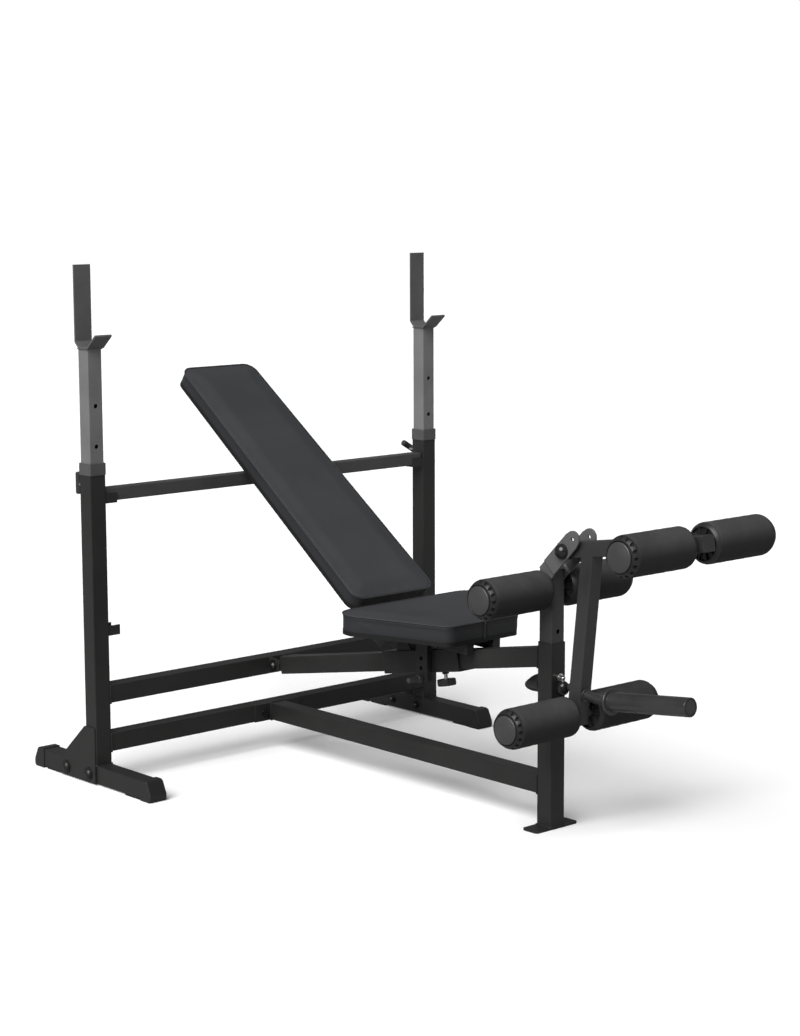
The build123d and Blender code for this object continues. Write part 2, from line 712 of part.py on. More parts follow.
def tension_knob():
    """Lopsided domed knob on a screw that presses the leg post from behind."""
    rings = ((POST_REAR + 0.5, 371, 25.5), (-1088, 368, 23), (-1066, 362, 16.5), (-1051, 358.5, 8))
    faces = [Plane(origin=(0, y, z), z_dir=(0, 1, 0)) * Circle(r) for y, z, r in rings]
    knob = loft(faces)
    screw = rod((0, POST_REAR - WALL - 0.2, TENSION_Z), (0, POST_REAR + 3, TENSION_Z), BOLT_R - RUNNING)
    return knob + screw


# ---------------------------------------------------------------- lever

LEVER_FORWARD = Vector(0, -math.cos(ARM_SLOPE), math.sin(ARM_SLOPE))
HANG_DOWN = Vector(0, math.sin(HANG_TILT), -math.cos(HANG_TILT))
HANG_REAR = Vector(0, math.cos(HANG_TILT), math.sin(HANG_TILT))
PEG_FORWARD = Vector(0, -math.cos(PEG_SLOPE), math.sin(PEG_SLOPE))


def hang_at(z):
    """A point on the hanging tube's axis at the given height."""
    return tuple(Vector(0, -1237.6, 369.5) + HANG_DOWN * ((369.5 - z) / math.cos(HANG_TILT)))


def peg_at(along):
    """A point on the weight sleeve's axis, measured from its flange."""
    return tuple(Vector(0, *PEG_FLANGE) + PEG_FORWARD * along)


def closed_tube(start, end, width):
    """A square tube with 3 mm plugs in both ends."""
    axis = (Vector(*end) - Vector(*start)).normalized()
    core = width - 2 * WALL
    inner = bar(tuple(Vector(*start) + axis * 3), tuple(Vector(*end) - axis * 3), core, core, 1)
    return bar(start, end, width, width) - inner


def leg_lever():
    """Forward arm and hanging tube with the pivot bushing."""
    pivot = Vector(0, *PIVOT)
    arm = closed_tube(tuple(pivot - LEVER_FORWARD * 28), tuple(pivot + LEVER_FORWARD * 450), LEVER_TUBE)
    hang = closed_tube(hang_at(722), hang_at(287), LEVER_TUBE)
    lever = arm + hang + cross_rod(*PIVOT, 26.8, 11)
    lever = lever - cross_rod(*PIVOT, 30, PIVOT_R + RUNNING)
    for axis in (ARM_ROLLER_AXIS, SHIN_AXIS):
        lever = lever - cross_rod(*axis, 40, ROLLER_TUBE_R)
    return lever


def weight_rod():
    """Bent round bar that carries the weight sleeve."""
    bend = peg_at(-36)
    root = (0, -1246, 365.5)
    rod_out = rod(root, bend, PEG_R) + Pos(*bend) * Sphere(PEG_R)
    ring = rod((0, -1254, 364.8), (0, -1262, 364), 17)
    whole = joined([rod_out, ring, rod(bend, peg_at(PEG_END), PEG_R)])
    return whole - bar(hang_at(722), hang_at(287), LEVER_TUBE, LEVER_TUBE)


def weight_sleeve():
    flange = fillet(rod(peg_at(-4), peg_at(4), 33.5).edges(), 3)
    sleeve = rod(peg_at(0), peg_at(SLEEVE_END), SLEEVE_R)
    sleeve = chamfer(sleeve.faces().sort_by(Axis.Y)[0].edges(), 1.5)
    groove = rod(peg_at(SLEEVE_END - 3), peg_at(SLEEVE_END + 5), SLEEVE_R - 3)
    plug = rod(peg_at(SLEEVE_END - 5), peg_at(SLEEVE_END - 1), SLEEVE_R - 6)
    return flange + sleeve - groove + plug - rod(peg_at(-20), peg_at(PEG_END), PEG_R)


def lever_bumper():
    root = Vector(*hang_at(373)) + HANG_REAR * (LEVER_TUBE / 2)
    return dome(tuple(root), tuple(HANG_REAR), 12.5, 8, 20)


# ---------------------------------------------------------------- write every node

for side, name in ((-1, "left"), (1, "right")):
    x = side * UPRIGHT_X
    handle = (0, 0, 1) if side < 0 else (-math.cos(math.radians(30)), 0, 0.5)
    save(f"{name}_upright", upright(x))
    save(f"{name}_foot", foot(x))
    save(f"{name}_rack_post", rack_post(x))
    save(f"{name}_bar_hook", bar_hook(x))
    save(f"{name}_lock_pin", lock_pin(x, handle))
    save(f"{name}_lock_grip", lock_grip(x, handle))
    save(f"{name}_thigh_foam", foam(THIGH_AXIS, side))
    save(f"{name}_arm_foam", foam(ARM_ROLLER_AXIS, side))
    save(f"{name}_shin_foam", foam(SHIN_AXIS, side))

save("upright_collars", *both_sides(collar(UPRIGHT_X)))
SHOE = foot_cap()
SHOES = both_sides(SHOE) + both_sides(mirror(SHOE, about=Plane.XZ))
save("foot_end_caps", *[Pos(0, FOOT_CENTRE_Y, 0) * shoe for shoe in SHOES])
save(
    "floor_pads",
    *both_sides(floor_pad(UPRIGHT_X, 155, 222)), *both_sides(floor_pad(UPRIGHT_X, -222, -155))
)
save("foot_gussets", *both_sides(gusset()))
save("foot_bolts", *[bolt for y in FOOT_BOLTS_Y for bolt in both_sides(foot_bolt(y))])
LOWER_CROSSBAR = crossbar(LOWER_BAR_Z)
for drill in flange_holes():
    LOWER_CROSSBAR = LOWER_CROSSBAR - drill
save("upper_crossbar", crossbar(UPPER_BAR_Z))
save("lower_crossbar", LOWER_CROSSBAR)
save("bar_saddles", *[piece for z in SADDLES_Z for piece in both_sides(saddle(z))])
save("support_bar", support_bar())
save("main_beam", main_beam())
save("beam_bolts", beam_bolt(-FLANGE_BOLT_X), beam_bolt(FLANGE_BOLT_X), bracket_bolt())
save("front_post", front_post())
save("front_foot_plate", front_foot_plate())
save("seat_beam", seat_beam())
save("seat_beam_bracket", *both_sides(bracket_plate()))
save("seat_carriage", seat_carriage())
save("hinge_bolt", hinge_bolt())
save("clamp_stud", clamp_stud())
save("clamp_knob", clamp_knob())
save("seat_frame", seat_frame())
save("seat_hanger", seat_hanger())
save("seat_lock_pin", seat_lock_pin())
save("seat_lock_grip", seat_lock_grip())
save("seat_board", seat_slab(0, BOARD_INSET, BOARD))
save("seat_cushion", seat_slab(BOARD + BOARD_GAP, 0, SEAT_PAD - BOARD - BOARD_GAP))
save("backrest_frame", back_frame())
save("backrest_board", back_slab(BACK_UNDERSIDE, BOARD_INSET, BOARD))
save(
    "backrest_cushion",
    back_slab(BACK_UNDERSIDE + BOARD + BOARD_GAP, 0, BACK_PAD - BOARD - BOARD_GAP)
)
save("leg_post", leg_post())
save("pivot_brackets", *both_sides(pivot_bracket()))
save("pivot_bolt", pivot_bolt())
save("thigh_roller_tube", roller_tube(THIGH_AXIS))
save("thigh_roller_hubs", *roller_hubs(THIGH_AXIS))
save("post_lock_pin", post_lock_pin())
save("post_lock_knob", post_lock_knob())
save("tension_knob", tension_knob())
save("leg_lever", leg_lever())
save("lever_roller_tubes", roller_tube(ARM_ROLLER_AXIS), roller_tube(SHIN_AXIS))
save("lever_roller_hubs", *roller_hubs(ARM_ROLLER_AXIS), *roller_hubs(SHIN_AXIS))
save("weight_rod", weight_rod())
save("weight_sleeve", weight_sleeve())
save("lever_bumper", lever_bumper())
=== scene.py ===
import json
import math

import bmesh
import bpy
from mathutils import Matrix, Vector


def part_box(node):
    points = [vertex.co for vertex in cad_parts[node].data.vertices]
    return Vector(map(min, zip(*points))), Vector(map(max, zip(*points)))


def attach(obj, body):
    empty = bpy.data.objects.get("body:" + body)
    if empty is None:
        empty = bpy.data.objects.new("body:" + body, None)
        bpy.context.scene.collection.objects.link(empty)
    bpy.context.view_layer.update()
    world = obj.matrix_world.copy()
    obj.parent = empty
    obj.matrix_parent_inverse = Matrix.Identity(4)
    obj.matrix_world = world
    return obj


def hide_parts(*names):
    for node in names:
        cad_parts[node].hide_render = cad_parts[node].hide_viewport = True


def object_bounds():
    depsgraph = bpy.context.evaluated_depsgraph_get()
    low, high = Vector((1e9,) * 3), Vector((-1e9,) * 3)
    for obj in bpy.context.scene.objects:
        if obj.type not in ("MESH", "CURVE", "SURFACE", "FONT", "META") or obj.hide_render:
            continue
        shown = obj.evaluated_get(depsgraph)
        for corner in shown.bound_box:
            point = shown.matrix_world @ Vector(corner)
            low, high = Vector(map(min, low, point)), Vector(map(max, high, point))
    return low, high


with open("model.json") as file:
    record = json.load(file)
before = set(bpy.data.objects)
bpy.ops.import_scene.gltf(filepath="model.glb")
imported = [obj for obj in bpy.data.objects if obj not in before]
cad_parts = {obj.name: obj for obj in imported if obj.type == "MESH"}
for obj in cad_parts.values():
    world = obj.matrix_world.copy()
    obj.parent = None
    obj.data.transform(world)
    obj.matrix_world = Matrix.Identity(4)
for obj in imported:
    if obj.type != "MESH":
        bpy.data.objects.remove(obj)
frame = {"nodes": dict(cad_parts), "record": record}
CAD_BOX = [list(corner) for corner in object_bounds()]

MM = 0.001
X, Y, Z = range(3)

# ---------------------------------------------------------------- driving sizes

# Pads. A cushion lies on a board, and its cover goes down round the board: (inset, height) in millimetres.
UNDER_CUSHION = 12.2 * MM
COVER_FOOT = ((13.0, 0.6), (6.0, 3.4), (2.2, 8.0), (0.6, 15.0))
COVER_INSET = COVER_FOOT[-1][0] * MM
CROWN_ROUND = 7.0 * MM
CROWN_RISE = 3.0 * MM
WELT_DROP = 5.0 * MM
WELT_R = 1.8 * MM
WELT_INSET, WELT_LIFT = 1.4 * MM, 0.8 * MM
STITCH_R = 0.8 * MM
STITCH_PITCH = 7.0 * MM
STITCH_INSET, STITCH_LIFT = 4.0 * MM, 2.9 * MM

# Cloth run: cell size, frames, how far a point may move, and the share of that near seam and edge.
VOXEL = 5.0 * MM
CLOTH_FRAMES = 20
SWELL = 7.0 * MM
EDGE_SHARE = 0.12
SIDE_SHARE = 0.32
CROWN_START, CROWN_RUN = 4.0 * MM, 55.0 * MM
SIDE_LOW_RUN = 14.0 * MM
SIDE_TOP_START, SIDE_TOP_RUN = 1.0 * MM, 9.0 * MM

# Rollers: the foam sleeve, and the disc in the outer hub as (radius, distance from its back) in millimetres.
FOAM_BORE = 12.6 * MM
FOAM_LIP = 2.5 * MM
FOAM_WAVE, FOAM_WAVE_TURN = 0.25 * MM, 2.1
PLUG_SUNK = 10.6 * MM
PLUG_RIM = [(0.0, 0.0), (35.6, 0.0), (36.3, 1.0), (36.3, 4.4), (35.6, 5.6)]
PLUG_DOME = [(33.0 - 3.3 * step, 6.2 + 0.62 * step * (2 - step / 10)) for step in range(10)]
PLUG_TOP = [(0.0, 12.5)]

# Weld beads: half sides of the rectangles they follow, just outside 50, 45 and 40 mm tube.
BEAD_R = 2.2 * MM
THIN_BEAD_R = 1.8 * MM
BEAD_RIPPLE = 0.012
FRAME_BEAD = 25.6 * MM
RACK_BEAD = 23.2 * MM
SEAT_BEAM_BEAD = (FRAME_BEAD, FRAME_BEAD + 0.6 * MM)
SEAT_BEAM_END = Vector((0, 0.3, -25.4)) * MM
LEVER_BEAD = (20.4 * MM, 20.6 * MM)
LEVER_SLOPE = math.radians(8.8)
UNDER_PIVOT = Vector((0, 1.3, -20.5)) * MM

# Stage, lamps and camera, in metres and watts; the lens and the sensor are in millimetres.
AMBIENT = 0.16
FLOOR_SEEN = 0.97
FLOOR_BOUNCE = 0.35
FLOOR_GLOW = 0.10
SUN_POWER, SUN_WIDTH = 4.2, math.radians(50)
SUN_FROM = (-5.0, -1.6, 5.0)
FRONT_POWER, FRONT_SIZE = 12, 2.5
FRONT_FROM, FRONT_AIM = (1.5, -5.5, 2.5), (0, -0.6, 0.6)
CAMERA_YAW, CAMERA_PITCH, CAMERA_ROLL = (math.radians(turn) for turn in (41.811, 8.580, -0.196))
CAMERA_LENS, CAMERA_SENSOR = 79.72, 36
CAMERA_FROM_MIDDLE = Vector((-4.0685, -4.4283, 0.9478))


# ---------------------------------------------------------------- node materials


class Shader:
    """A principled material with short helpers for adding nodes."""

    def __init__(self, name):
        self.material = bpy.data.materials.new(name)
        self.material.use_nodes = True
        self.tree = self.material.node_tree
        self.surface = self.tree.nodes["Principled BSDF"]
        self.position = self.node("ShaderNodeTexCoord").outputs["Object"]

    def node(self, kind, **inputs):
        """Add a node and set its inputs; an underscore in a name stands for a space."""
        made = self.tree.nodes.new(kind)
        for key, value in inputs.items():
            made.inputs[key.replace("_", " ")].default_value = value
        return made

    def link(self, out, into):
        self.tree.links.new(out, into)

    def noise(self, scale, detail=3.0, rough=0.5, stretch=None):
        made = self.node("ShaderNodeTexNoise", Scale=scale, Detail=detail, Roughness=rough)
        self.link(self.mapped(stretch), made.inputs["Vector"])
        return made.outputs["Fac"]

    def voronoi(self, scale, feature="F1"):
        made = self.node("ShaderNodeTexVoronoi", Scale=scale)
        made.feature = feature
        self.link(self.position, made.inputs["Vector"])
        return made.outputs["Distance"]

    def mapped(self, stretch):
        """Object coordinates, scaled along each axis where a stretch is given."""
        if stretch is None:
            return self.position
        made = self.node("ShaderNodeMapping")
        made.inputs["Scale"].default_value = stretch
        self.link(self.position, made.inputs["Vector"])
        return made.outputs["Vector"]

    def spread(self, value, low, high, out_low=0.0, out_high=1.0):
        """Map a value from one range to another, clamped."""
        made = self.node("ShaderNodeMapRange")
        for index, number in enumerate((low, high, out_low, out_high), start=1):
            made.inputs[index].default_value = number
        self.link(value, made.inputs[0])
        return made.outputs[0]

    def times(self, first, second):
        """Multiply two values; each is a number or a socket."""
        made = self.node("ShaderNodeMath")
        made.operation = "MULTIPLY"
        for socket, value in zip(made.inputs, (first, second)):
            if isinstance(value, (int, float)):
                socket.default_value = value
            else:
                self.link(value, socket)
        return made.outputs[0]

    def mix(self, factor, first, second):
        """Mix two colours; each is a tuple or a socket."""
        made = self.tree.nodes.new("ShaderNodeMix")
        made.data_type = "RGBA"
        self.link(factor, made.inputs[0])
        for socket, value in zip((made.inputs[6], made.inputs[7]), (first, second)):
            if isinstance(value, tuple):
                socket.default_value = (*value, 1.0)
            else:
                self.link(value, socket)
        return made.outputs[2]

    def edges(self, radius):
        """A mask, about 1 along sharp edges and 0 on flat faces, and a normal that rounds them."""
        bevel = self.node("ShaderNodeBevel", Radius=radius)
        bevel.samples = 4
        flat = self.node("ShaderNodeNewGeometry").outputs["Normal"]
        dot = self.tree.nodes.new("ShaderNodeVectorMath")
        dot.operation = "DOT_PRODUCT"
        self.link(bevel.outputs["Normal"], dot.inputs[0])
        self.link(flat, dot.inputs[1])
        return self.spread(dot.outputs["Value"], 0.995, 0.8), bevel.outputs["Normal"]

    def lit_top_mask(self):
        """0 on walls and undersides, 1 on faces that look up; the materials use it to paint shade on walls
        and undersides.
        """
        split = self.tree.nodes.new("ShaderNodeSeparateXYZ")
        self.link(self.node("ShaderNodeNewGeometry").outputs["Normal"], split.inputs[0])
        return self.spread(split.outputs["Z"], -0.05, 0.6)

    def bump(self, heights, normal=None):
        """Stack bumps: each entry is (height socket, distance in metres, strength)."""
        for height, distance, strength in heights:
            made = self.node("ShaderNodeBump", Strength=strength, Distance=distance)
            self.link(height, made.inputs["Height"])
            if normal is not None:
                self.link(normal, made.inputs["Normal"])
            normal = made.outputs["Normal"]
        self.link(normal, self.surface.inputs["Normal"])

    def set(self, **inputs):
        """Fill inputs of the surface with numbers, colours or sockets."""
        for key, value in inputs.items():
            socket = self.surface.inputs[key.replace("_", " ")]
            if isinstance(value, (int, float)):
                socket.default_value = value
            elif isinstance(value, tuple):
                socket.default_value = (*value, 1.0)
            else:
                self.link(value, socket)
        return self


NEUTRAL = (1.0, 1.0, 1.0)
COOL = (1.0, 1.0, 1.02)
WARM = (1.0, 0.99, 0.97)


def grey(level, tint=NEUTRAL):
    """A grey of a given brightness, slightly tinted."""
    return tuple(level * part for part in tint)


def powder_coat(name, level, tint=NEUTRAL, rough=0.46, gloss=0.4):
    """Satin powder coat: fine orange peel, soft mottling and slightly rubbed edges."""
    made = Shader(name)
    peel = made.noise(900.0, 2.0, 0.5)
    mottle = made.spread(made.noise(9.0, 4.0, 0.55), 0.35, 0.65)
    speck = made.spread(made.noise(420.0, 2.0, 0.6), 0.62, 0.72)
    worn, rounded = made.edges(0.0012)
    base = made.mix(mottle, grey(level * 0.9, tint), grey(level * 1.1, tint))
    base = made.mix(made.times(speck, 0.25), base, grey(level * 1.7, tint))
    rub = made.times(worn, made.spread(made.noise(30.0, 5.0, 0.6), 0.4, 0.75, 0.1, 0.55))
    base = made.mix(rub, base, grey(min(level * 2.6, 0.5), tint))
    made.bump([(peel, 0.0002, 0.35)], rounded)
    return made.set(
        Base_Color=base, Roughness=made.spread(mottle, 0, 1, rough - 0.05, rough + 0.06),
        Specular_IOR_Level=gloss,
    ).material


def vinyl(name, level=0.042, tint=(0.96, 0.99, 1.08)):
    """Upholstery vinyl: pebbled grain, faint creases and a soft sheen, with painted shade on the walls, the
    undersides and in the pits of the grain.
    """
    made = Shader(name)
    pebble = made.voronoi(520.0, "SMOOTH_F1")
    fine = made.noise(1500.0, 3.0, 0.6)
    crease = made.spread(made.noise(14.0, 6.0, 0.62), 0.3, 0.7)
    cloud = made.spread(made.noise(5.0, 3.0, 0.5), 0.3, 0.7)
    base = made.mix(cloud, grey(level * 0.9, tint), grey(level * 1.12, tint))
    # Darker in the pits of the pebble grain: painted shade in the recesses.
    base = made.mix(made.spread(pebble, 0.0, 0.7, 0.35, 0.0), base, grey(level * 0.6, tint))
    # Walls and undersides darker than the top: painted shade.
    base = made.mix(made.lit_top_mask(), grey(level * 0.5, tint), base)
    made.bump([(crease, 0.0006, 0.3), (pebble, 0.0004, 0.5), (fine, 0.0001, 0.4)])
    return made.set(
        Base_Color=base, Roughness=made.spread(cloud, 0, 1, 0.52, 0.62), Specular_IOR_Level=0.35,
    ).material


def foam_skin(name, level=0.044):
    """Closed-cell foam with a matt skin and small open pores, with painted shade in the pores and on the
    walls and undersides.
    """
    made = Shader(name)
    pores = made.voronoi(900.0)
    lumps = made.noise(60.0, 4.0, 0.6)
    cloud = made.spread(made.noise(12.0, 4.0, 0.6), 0.35, 0.65)
    base = made.mix(cloud, grey(level * 0.85), grey(level * 1.2))
    # Darker in the open pores: painted shade in the recesses.
    base = made.mix(made.spread(pores, 0.0, 0.35, 0.4, 0.0), base, grey(level * 0.4))
    # Walls and undersides darker than the top: painted shade.
    base = made.mix(made.lit_top_mask(), grey(level * 0.45), base)
    made.bump([(lumps, 0.0012, 0.3), (pores, 0.0004, 0.6)])
    return made.set(Base_Color=base, Roughness=0.85, Specular_IOR_Level=0.3).material


def plastic(name, level, rough=0.42):
    """Moulded plastic with a spark-eroded grain and light scuffs."""
    made = Shader(name)
    grain = made.noise(1300.0, 2.0, 0.5)
    cloud = made.spread(made.noise(25.0, 3.0, 0.5), 0.3, 0.7)
    scuff = made.spread(made.noise(160.0, 5.0, 0.7, (1.0, 0.15, 1.0)), 0.62, 0.75)
    worn, rounded = made.edges(0.0008)
    base = made.mix(cloud, grey(level * 0.92), grey(level * 1.08))
    base = made.mix(made.times(scuff, 0.2), base, grey(level * 1.8))
    base = made.mix(made.times(worn, 0.35), base, grey(min(level * 2.0, 0.5)))
    made.bump([(grain, 0.00012, 0.35)], rounded)
    return made.set(
        Base_Color=base, Roughness=made.spread(scuff, 0, 1, rough, rough + 0.18)
    ).material


def rubber(name, level=0.015):
    """Matt rubber with a dusty bloom."""
    made = Shader(name)
    bloom = made.spread(made.noise(40.0, 5.0, 0.65), 0.4, 0.8)
    base = made.mix(bloom, grey(level), grey(level * 2.2))
    made.bump([(made.noise(700.0, 3.0, 0.6), 0.0003, 0.4)])
    return made.set(Base_Color=base, Roughness=0.7).material


def plated(name, level, rough):
    """Plated steel: fine turning lines and small stains."""
    made = Shader(name)
    lines = made.noise(300.0, 2.0, 0.5, (6.0, 0.4, 0.4))
    stain = made.spread(made.noise(70.0, 5.0, 0.65), 0.45, 0.75)
    rounded = made.edges(0.0006)[1]
    base = made.mix(stain, grey(level), grey(level * 0.72, (1.0, 0.98, 0.94)))
    made.bump([(lines, 0.00008, 0.25)], rounded)
    return made.set(
        Base_Color=base, Metallic=1.0, Roughness=made.spread(stain, 0, 1, rough, rough + 0.14)
    ).material


def thread(name):
    """Twisted sewing thread, a little lighter than the vinyl."""
    made = Shader(name)
    twist = made.noise(900.0, 3.0, 0.6, (1.0, 1.0, 3.0))
    base = made.mix(made.spread(twist, 0.35, 0.65), grey(0.035), grey(0.075))
    made.bump([(twist, 0.0002, 0.5)])
    return made.set(Base_Color=base, Roughness=0.8).material


MATERIALS = {
    "black_paint": powder_coat("black_powder_coat", 0.018, WARM),
    "grey_paint": powder_coat("grey_powder_coat", 0.1, COOL, 0.42),
    # A lighter copy of the grey paint for the rack posts: painted light.
    "rack_lit_paint": powder_coat("rack_lit_powder_coat", 0.165, COOL, 0.42),
    # A darker copy of the grey paint for the support bar: painted shade from the backrest above.
    "bar_shaded_paint": powder_coat("bar_shaded_powder_coat", 0.055, COOL, 0.44),
    # Partly the leg post's own grey paint, partly lightened to make up for the thigh roller's shadow:
    # painted light.
    "post_grey_and_lit_paint": powder_coat("post_grey_and_lit_powder_coat", 0.045, rough=0.44),
    "lever_paint": powder_coat("lever_powder_coat", 0.03, rough=0.44),
    "sleeve_paint": powder_coat("sleeve_enamel", 0.03, rough=0.27, gloss=0.6),
    "vinyl": vinyl("pad_vinyl"),
    "thread": thread("pad_thread"),
    "board": vinyl("board_wrap", 0.010),
    "foam": foam_skin("roller_foam"),
    "plastic": plastic("black_plastic", 0.014),
    "grey_plastic": plastic("grey_plastic", 0.043),
    "collar": plastic("collar_plastic", 0.075),
    "cap": plastic("gloss_cap", 0.012, 0.22),
    "rubber": rubber("black_rubber"),
    "chrome": plated("bright_chrome", 0.72, 0.12),
    "zinc": plated("black_zinc_plate", 0.07, 0.4),
}


# ---------------------------------------------------------------- mesh helpers


def finish_mesh(name, bm, material):
    """Turn a bmesh into a smooth-shaded object with outward normals."""
    bmesh.ops.recalc_face_normals(bm, faces=bm.faces)
    mesh = bpy.data.meshes.new(name)
    bm.to_mesh(mesh)
    bm.free()
    for face in mesh.polygons:
        face.use_smooth = True
    made = bpy.data.objects.new(name, mesh)
    bpy.context.scene.collection.objects.link(made)
    mesh.materials.append(MATERIALS[material])
    return made


def place(piece, body, node=None):
    """Put a finished piece on its body and let it stand for a CAD node."""
    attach(piece, body)
    if node:
        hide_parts(node)


def middle(node):
    """Middle of a CAD node's box."""
    low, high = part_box(node)
    return (low + high) / 2


def axes_for(direction):
    """A rotation that turns Z onto the direction."""
    return Vector(direction).to_track_quat("Z", "X").to_matrix().to_4x4()


def add_turned(bm, profile, origin, direction, steps=64):
    """Add a solid of revolution; the profile lists (radius, distance along the axis)."""
    turn = Matrix.Translation(Vector(origin)) @ axes_for(direction)
    rings = []
    for radius, along in profile:
        if radius == 0:
            rings.append([bm.verts.new(turn @ Vector((0, 0, along)))])
            continue
        ring = []
        for step in range(steps):
            angle = 2 * math.pi * step / steps
            point = Vector((radius * math.cos(angle), radius * math.sin(angle), along))
            ring.append(bm.verts.new(turn @ point))
        rings.append(ring)
    for low, high in zip(rings, rings[1:]):
        for step in range(steps):
            after = (step + 1) % steps
            corners = [low[step % len(low)], low[after % len(low)]]
            corners += [high[after % len(high)], high[step % len(high)]]
            unique = list(dict.fromkeys(corners))
            if len(unique) > 2:
                bm.faces.new(unique)


def round_corner(radius_in, along_in, radius_out, along_out, steps=6):
    """Quarter-round between two profile points, bulging towards the outer corner."""
    points = []
    for step in range(steps + 1):
        angle = math.pi / 2 * step / steps
        points.append((
            radius_in + (radius_out - radius_in) * math.sin(angle),
            along_out + (along_in - along_out) * math.cos(angle),
        ))
    return points


def add_sweep(bm, path, radius, steps=10, closed=True):
    """Add a round cord along a list of points, joined to itself or capped at both ends."""
    count = len(path)
    rings = []
    for index, point in enumerate(path):
        before = path[index - 1] if closed or index else point
        after = path[(index + 1) % count] if closed or index < count - 1 else point
        turn = axes_for((after - before).normalized())
        ring = []
        for step in range(steps):
            angle = 2 * math.pi * step / steps
            around = turn @ Vector((radius * math.cos(angle), radius * math.sin(angle), 0))
            ring.append(bm.verts.new(point + around))
        rings.append(ring)
    pairs = list(zip(rings, rings[1:]))
    if closed:
        pairs.append((rings[-1], rings[0]))
    for low, high in pairs:
        shift = min(range(steps), key=lambda s: (low[0].co - high[s].co).length)
        for step in range(steps):
            bm.faces.new([
                low[step], low[(step + 1) % steps],
                high[(step + 1 + shift) % steps], high[(step + shift) % steps],
            ])
    if not closed:
        bm.faces.new(rings[0])
        bm.faces.new(rings[-1])


# ---------------------------------------------------------------- cushions


def add_slab(bm, layers):
    """Stack outlines (points, height) into one closed solid."""
    rings = [[bm.verts.new((p.x, p.y, height)) for p in points] for points, height in layers]
    for low, high in zip(rings, rings[1:]):
        for index in range(len(low)):
            after = (index + 1) % len(low)
            bm.faces.new([low[index], low[after], high[after], high[index]])
    bm.faces.new(rings[0])
    bm.faces.new(rings[-1])


def swell(piece, freedom):
    """Inflate a piece with a short cloth run; a point moves at most its freedom times the full swell."""
    rest = [vertex.co.copy() for vertex in piece.data.vertices]
    cloth = piece.modifiers.new("swell", "CLOTH")
    cloth.settings.quality = 5
    cloth.settings.mass = 0.3
    cloth.settings.tension_stiffness = 40
    cloth.settings.compression_stiffness = 40
    cloth.settings.bending_stiffness = 4
    cloth.settings.use_pressure = True
    cloth.settings.uniform_pressure_force = 4.0
    cloth.settings.effector_weights.gravity = 0.0
    cloth.collision_settings.use_collision = False
    scene = bpy.context.scene
    cloth.point_cache.frame_start, cloth.point_cache.frame_end = 1, CLOTH_FRAMES
    for number in range(1, CLOTH_FRAMES + 1):
        scene.frame_set(number)
    graph = bpy.context.evaluated_depsgraph_get()
    shaped = [vertex.co.copy() for vertex in piece.evaluated_get(graph).data.vertices]
    piece.modifiers.remove(cloth)
    scene.frame_set(1)
    for vertex, before, after in zip(piece.data.vertices, rest, shaped):
        move = after - before
        limit = SWELL * freedom(before)
        if move.length > limit:
            move = move.normalized() * limit
        vertex.co = before + move


def remesh(piece):
    """Apply a voxel remesh so that the cloth has even cells."""
    modifier = piece.modifiers.new("remesh", "REMESH")
    modifier.mode = "VOXEL"
    modifier.voxel_size = VOXEL
    graph = bpy.context.evaluated_depsgraph_get()
    mesh = bpy.data.meshes.new_from_object(piece.evaluated_get(graph))
    piece.modifiers.remove(modifier)
    piece.data = mesh
    for face in mesh.polygons:
        face.use_smooth = True


def smooth_step(value):
    """An even ramp from 0 to 1 with soft ends."""
    value = min(max(value, 0.0), 1.0)
    return value * value * (3 - 2 * value)


class Pad:
    """An upholstered pad; in its own frame y runs along it, z is up and its board's underside is 0."""

    def __init__(self, body, node, heading, halves, length, corners, thick):
        self.body = body
        self.node = node
        self.half_near, self.half_far = (half * MM for half in halves)
        self.length = length * MM
        self.corners = [corner * MM for corner in corners]
        self.seam = thick * MM - WELT_DROP
        self.place = self.find_place(math.radians(heading))

    def find_place(self, heading):
        """The pad's own frame, from its direction and the lower edges of the CAD cushion's box."""
        along = Vector((0, math.cos(heading), math.sin(heading)))
        up = Vector((1, 0, 0)).cross(along)
        if up.z < 0:
            up = -up
        low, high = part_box(self.node)
        run, rise = self.length * along.y, self.length * along.z
        cushion = Vector((0, high.y - max(0.0, run), low.z - min(0.0, rise)))
        columns = (along.cross(up), along, up, cushion - up * UNDER_CUSHION)
        rows = [tuple(column[row] for column in columns) for row in range(3)]
        return Matrix((*rows, (0, 0, 0, 1)))

    def at(self, flat, height):
        """A point of the pad's plane, raised to a height, in the object's frame."""
        return self.place @ Vector((flat.x, flat.y, height))

    def outline(self, inset, steps=10):
        """Points of the tapered outline with its round corners, in the pad's own plane."""
        near, far = self.half_near - inset, self.half_far - inset
        ends = (inset, self.length - inset)
        corners = [Vector(p) for p in ((-near, ends[0]), (near, ends[0]), (far, ends[1]), (-far, ends[1]))]
        points = []
        for index, here in enumerate(corners):
            radius = self.corners[index // 2] - inset
            back = (corners[index - 1] - here).normalized()
            ahead = (corners[(index + 1) % 4] - here).normalized()
            half_angle = back.angle(ahead) / 2
            centre = here + (back + ahead).normalized() * radius / math.sin(half_angle)
            first = here + back * radius / math.tan(half_angle) - centre
            last = here + ahead * radius / math.tan(half_angle) - centre
            sweep = first.angle(last)
            for step in range(steps + 1):
                points.append(centre + Matrix.Rotation(sweep * step / steps, 2) @ first)
        return points

    def gap(self, point):
        """Distance inwards from the nearest straight side."""
        half = self.half_near + (self.half_far - self.half_near) * point.y / self.length
        return min(half - abs(point.x), point.y, self.length - point.y)

    def freedom(self, point):
        """Share of the full swell a point has: little at the seam and lower edge, all on the crown."""
        if point.z > self.seam:
            inwards = smooth_step((self.gap(point) - CROWN_START) / CROWN_RUN)
            return EDGE_SHARE + (1 - EDGE_SHARE) * inwards
        upwards = smooth_step(point.z / SIDE_LOW_RUN)
        return SIDE_SHARE * upwards * smooth_step((self.seam - point.z - SIDE_TOP_START) / SIDE_TOP_RUN)


